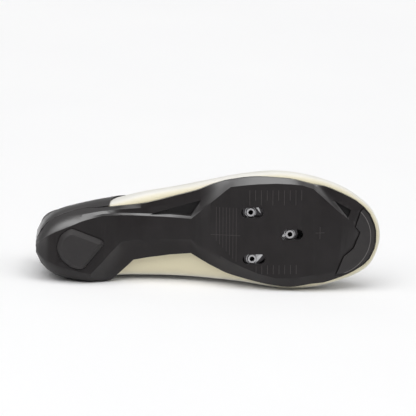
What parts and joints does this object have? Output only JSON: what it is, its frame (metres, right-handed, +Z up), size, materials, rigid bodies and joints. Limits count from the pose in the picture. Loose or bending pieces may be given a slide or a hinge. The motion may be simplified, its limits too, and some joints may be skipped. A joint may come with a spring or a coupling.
{
  "type": "cycling shoe",
  "caption": "Right road cycling shoe with a stiff black sole, slotted cleat fixing, pale upper, padded collar and closing straps, lying on its inner side.",
  "frame": {"origin": "middle of the bounding box, on the floor that the shoe lies on", "axes": "+X from heel to toe, +Y from the sole towards the top of the foot, +Z up, towards the outer side of the foot"},
  "size_m": [0.2836, 0.1228, 0.0976],
  "materials": {
    "sole_shell": "satin moulded, fibre filled",
    "tread_rubber": "matte",
    "nut_steel": "bright zinc",
    "upper_microfibre": "fine grain microfibre",
    "strap_microfibre": "fine grain microfibre",
    "collar_textile": "knitted",
    "tongue_textile": "padded knit",
    "insole_foam": "brushed cover"
  },
  "bodies": {
    "shoe": {"outsole": "sole_shell", "heel_pad": "tread_rubber", "toe_pad": "tread_rubber", "upper": "upper_microfibre", "collar": "collar_textile", "tongue": "tongue_textile", "insole": "insole_foam", "strap_front": "strap_microfibre", "strap_middle": "strap_microfibre", "strap_rear": "strap_microfibre"},
    "nut_plate": {"cleat_nut_plate": "nut_steel"}
  },
  "joints": [
    {"name": "cleat_slide", "type": "slide", "parent": "shoe", "child": "nut_plate", "axis": [0.9972, 0.0004, 0.0749], "range_m": [-0.0035, 0.0065]}
  ]
}
